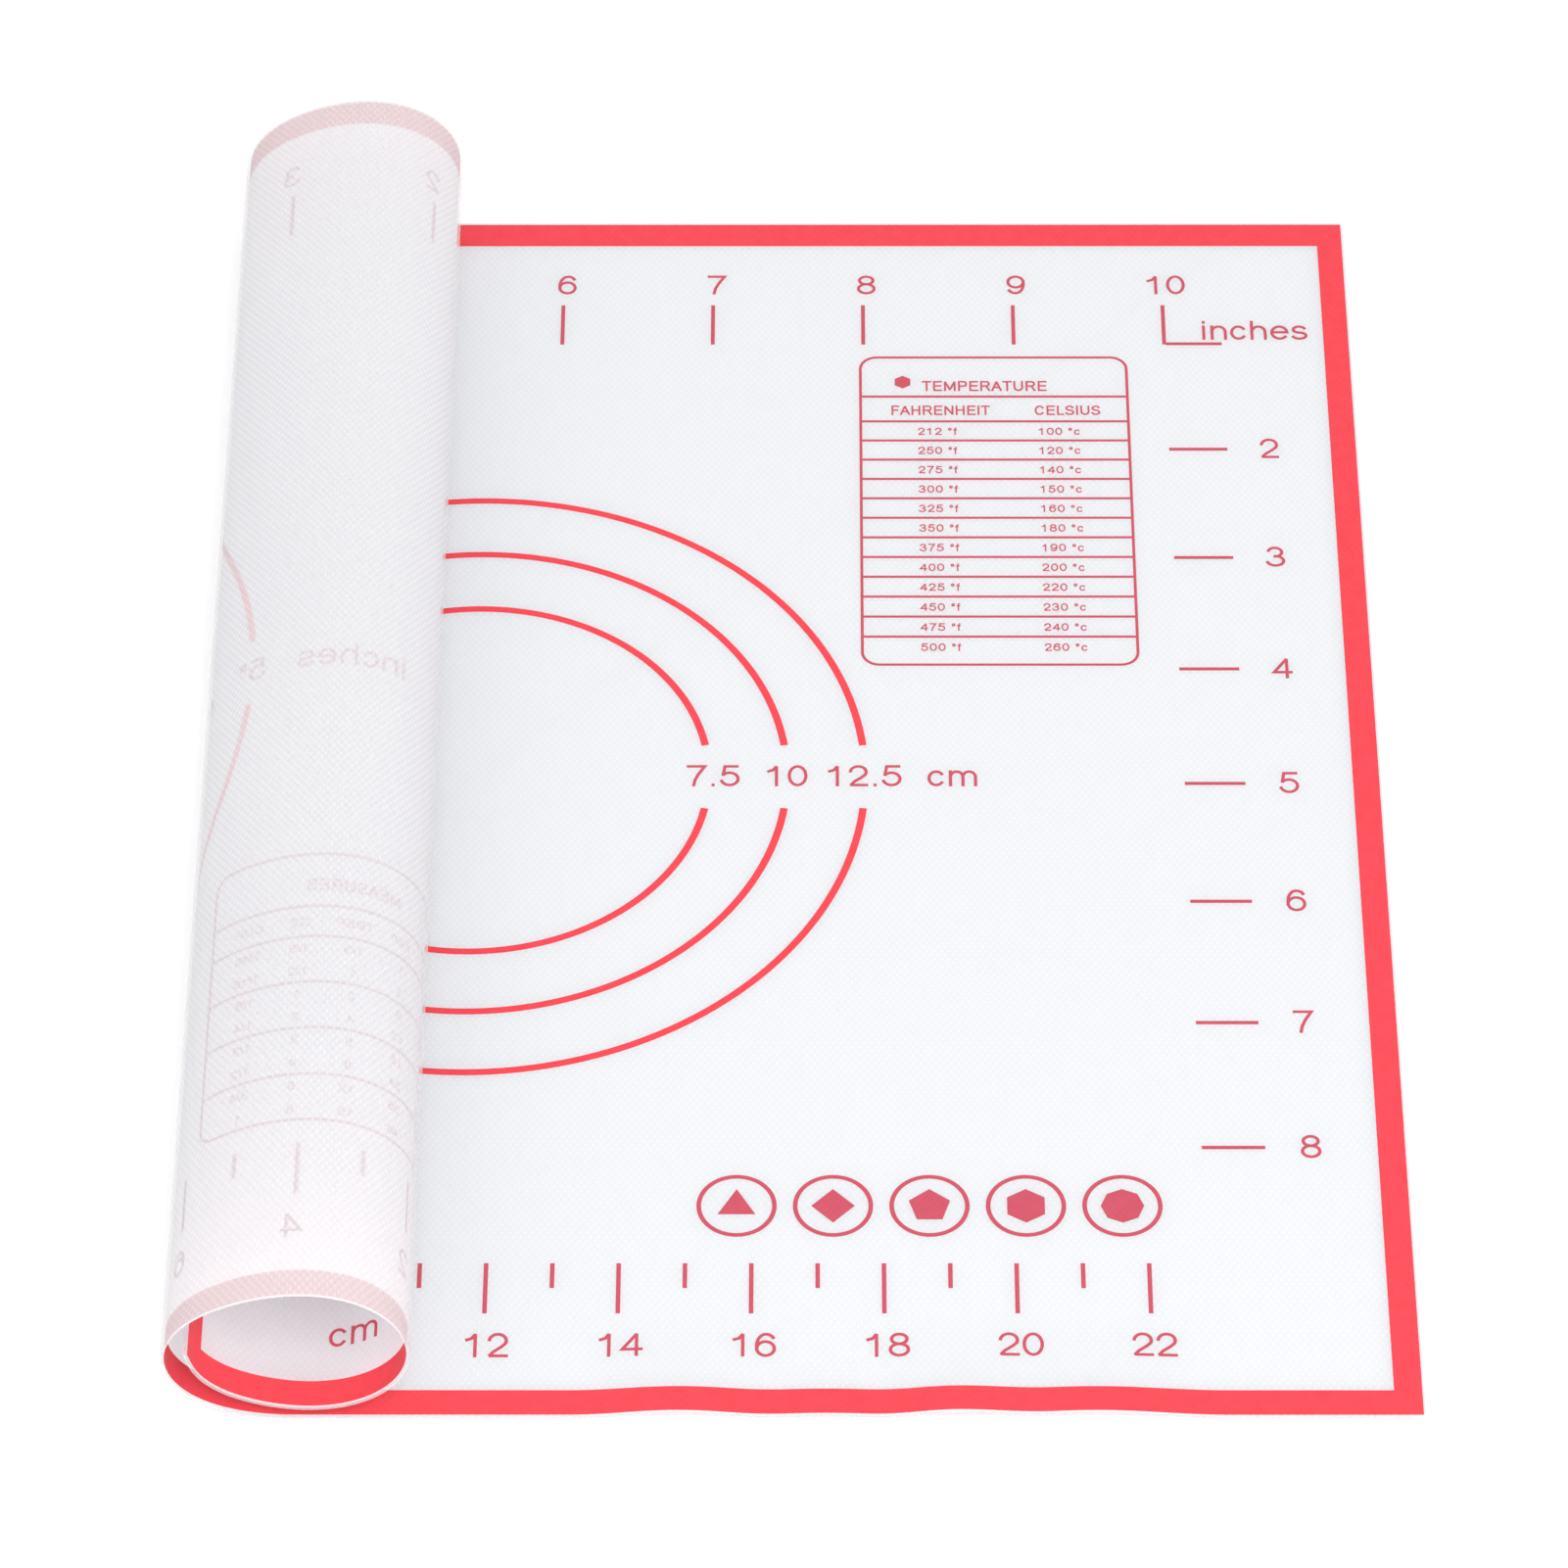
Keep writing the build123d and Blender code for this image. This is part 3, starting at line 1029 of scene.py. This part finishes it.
def seen_rays(finish):
    """1 for rays that show the background or the floor, and 0 for rays that only light."""
    rays = finish.node("ShaderNodeLightPath").outputs
    return (Sum(finish, rays["Is Camera Ray"]) + Sum(finish, rays["Is Glossy Ray"])
            + Sum(finish, rays["Is Transmission Ray"])).clamped()


class MAT_OT_flat_sheet(bpy.types.Operator):
    """The part of the sheet that lies flat"""

    bl_idname = "baking_mat.flat_sheet"
    bl_label = "Flat sheet"

    def execute(self, context):
        piece = sheet_piece(Curve(), 0)
        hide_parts("lower_coat", "glass_cloth", "upper_coat")
        return {"FINISHED"}


class MAT_OT_rolled_sheet(bpy.types.Operator):
    """The rolled part, one piece from the middle of each strip to the middle of the next"""

    bl_idname = "baking_mat.rolled_sheet"
    bl_label = "Rolled sheet"

    def execute(self, context):
        curve = Curve()
        for number in range(1, curve.count + 2):
            piece = sheet_piece(curve, number)
            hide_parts(f"roll_strip_{min(number, curve.count):02d}")
        return {"FINISHED"}


class MAT_OT_flat_border(bpy.types.Operator):
    """The red border on the flat part"""

    bl_idname = "baking_mat.flat_border"
    bl_label = "Border"

    def execute(self, context):
        print_piece(Curve(), "border", joined(border_ink()), 0, ink(), "border_print")
        return {"FINISHED"}


class MAT_OT_rulers(bpy.types.Operator):
    """The inch and centimetre rulers on the flat part"""

    bl_idname = "baking_mat.rulers"
    bl_label = "Rulers"

    def execute(self, context):
        curve = Curve()
        for name, draw in (("back_ruler", back_ruler_ink), ("side_ruler", side_ruler_ink),
                           ("cm_ruler", cm_ruler_ink)):
            print_piece(curve, name, joined(draw()), 0, line_ink(), f"{name}_print")
        return {"FINISHED"}


class MAT_OT_rings(bpy.types.Operator):
    """The rings for rolling out dough, with their labels"""

    bl_idname = "baking_mat.rings"
    bl_label = "Rings"

    def execute(self, context):
        curve = Curve()
        print_piece(curve, "rings", joined(ring_ink()), 0, ink(), "ring_print")
        print_piece(curve, "ring_labels", joined(ring_label_ink()), 0, line_ink(),
                    "ring_print")
        return {"FINISHED"}


class MAT_OT_temperature_table(bpy.types.Operator):
    """The table of oven temperatures"""

    bl_idname = "baking_mat.temperature_table"
    bl_label = "Temperature table"

    def execute(self, context):
        print_piece(Curve(), "temperature_table", joined(temperature_table_ink()), 0,
                    line_ink(), "temperature_table_print")
        return {"FINISHED"}


class MAT_OT_marks(bpy.types.Operator):
    """The row of small round marks"""

    bl_idname = "baking_mat.marks"
    bl_label = "Round marks"

    def execute(self, context):
        print_piece(Curve(), "marks", joined(mark_ink()), 0, line_ink(), "mark_print")
        return {"FINISHED"}


class MAT_OT_rolled_print(bpy.types.Operator):
    """The ink on the rolled part, one piece for each piece of the sheet"""

    bl_idname = "baking_mat.rolled_print"
    bl_label = "Rolled print"

    def execute(self, context):
        curve = Curve()
        broad = joined(border_ink() + ring_ink())
        lines = joined(ring_label_ink() + back_ruler_ink() + cm_ruler_ink()
                       + measure_table_ink())
        for number in range(1, curve.count + 2):
            node = f"roll_print_{min(number, curve.count):02d}"
            print_piece(curve, f"roll_border_{number:02d}", broad, number, ink(), node)
            print_piece(curve, f"roll_lines_{number:02d}", lines, number, line_ink(), node)
        return {"FINISHED"}


class MAT_OT_declare(bpy.types.Operator):
    """Works out the flat part's width, and does nothing more with it"""

    bl_idname = "baking_mat.declare"
    bl_label = "One sheet"

    def execute(self, context):
        left, right = Curve().window(0)
        right - left
        return {"FINISHED"}


# Where the camera stands and the way it looks, as in the photo
camera_place = Vector((52.653, -833.8, 890.59)) * mm
camera_way = Vector((-0.0025823, 0.6829552, -0.7304557)).normalized()
# Each lamp's name, its width and its place in metres. All face the middle of the mat
lamps = (("key", 0.9, (0.3, -0.95, 1.15)), ("fill", 1.0, (-0.75, -0.85, 0.95)))


class MAT_OT_studio(bpy.types.Operator):
    """A pale floor, soft lamps and the camera"""

    bl_idname = "baking_mat.studio"
    bl_label = "Studio"

    def execute(self, context):
        scene, s = context.scene, context.scene.studio
        camera = bpy.data.cameras.new("camera")
        camera.lens, camera.sensor_width = s.lens, 36.0
        camera.clip_end = 20.0
        right = camera_way.cross(Vector((0, 0, 1))).normalized()
        up = right.cross(camera_way)
        turn = Matrix((right, up, -camera_way)).transposed()
        eye = bpy.data.objects.new("camera", camera)
        eye.matrix_world = (Matrix.Translation(camera_place)
                            @ (turn @ Matrix.Rotation(s.roll, 3, "Z")).to_4x4())
        scene.collection.objects.link(eye)
        scene.camera = eye

        for name, width, where in lamps:
            light = bpy.data.lights.new(name, "AREA")
            light.energy, light.size, light.shape = getattr(s, name), width, "DISK"
            lamp = bpy.data.objects.new(name, light)
            lamp.location = where
            lamp.rotation_euler = (-Vector(where)).to_track_quat("-Z", "Y").to_euler()
            scene.collection.objects.link(lamp)

        world = bpy.data.worlds.new("studio")
        scene.world = world
        sky = Finish(world)
        level = seen_rays(sky) * (1.0 - s.world) + s.world
        light = sky.node("ShaderNodeBackground", None, {"Color": white, "Strength": level})
        sky.node("ShaderNodeOutputWorld", None, {"Surface": light.outputs[0]})

        floor_finish = bpy.data.materials.new("studio_floor")
        finish = Finish(floor_finish)
        plain = finish.node("ShaderNodeBsdfDiffuse", None, {"Color": s.floor})
        lit = finish.node("ShaderNodeEmission", None,
                          {"Color": white, "Strength": seen_rays(finish) * s.floor_lift})
        both = finish.node("ShaderNodeAddShader", None, {0: plain.outputs[0], 1: lit.outputs[0]})
        finish.show(both)
        mesh = bpy.data.meshes.new("floor")
        far = 4.0
        mesh.from_pydata([(-far, -far, 0), (far, -far, 0), (far, far, 0), (-far, far, 0)],
                         [], [(0, 1, 2, 3)])
        mesh.materials.append(floor_finish)
        floor = bpy.data.objects.new("floor", mesh)
        floor.location.z = -0.05 * mm
        scene.collection.objects.link(floor)
        floor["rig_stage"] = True
        scene.view_settings.view_transform = "Standard"
        return {"FINISHED"}


class MAT_PT_panel(bpy.types.Panel):
    """The building steps and the sizes behind them"""

    bl_idname = "MAT_PT_panel"
    bl_label = "Baking Mat"
    bl_space_type = "VIEW_3D"
    bl_region_type = "UI"
    bl_category = "Baking Mat"

    def draw(self, context):
        for operator in steps:
            self.layout.operator(operator.bl_idname)
        for group in groups:
            box = self.layout.box()
            box.label(text=group.replace("_", " ").capitalize())
            for name in groups[group].__annotations__:
                box.prop(getattr(context.scene, group), name)


groups = {"mat_sizes": MatSizes, "print_sizes": PrintSizes, "table_sizes": TableSizes,
          "finishes": Finishes, "studio": Studio}
steps = (MAT_OT_studio, MAT_OT_flat_sheet, MAT_OT_rolled_sheet, MAT_OT_flat_border,
         MAT_OT_rulers, MAT_OT_rings, MAT_OT_temperature_table, MAT_OT_marks,
         MAT_OT_rolled_print, MAT_OT_declare)


def register():
    for kind in (*groups.values(), *steps, MAT_PT_panel):
        bpy.utils.register_class(kind)
    for name, kind in groups.items():
        setattr(bpy.types.Scene, name, PointerProperty(type=kind))


def unregister():
    for name in groups:
        delattr(bpy.types.Scene, name)
    for kind in reversed((*groups.values(), *steps, MAT_PT_panel)):
        bpy.utils.unregister_class(kind)


def corners(box):
    return [list(map(float, corner)) for corner in box]


def main():
    register()
    for step in steps:
        getattr(bpy.ops.baking_mat, step.bl_idname.split(".")[1])()
    bpy.context.view_layer.update()
    {"cad": corners(cad_box), "visual": corners(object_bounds())}


if __name__ == "__main__":
    main()
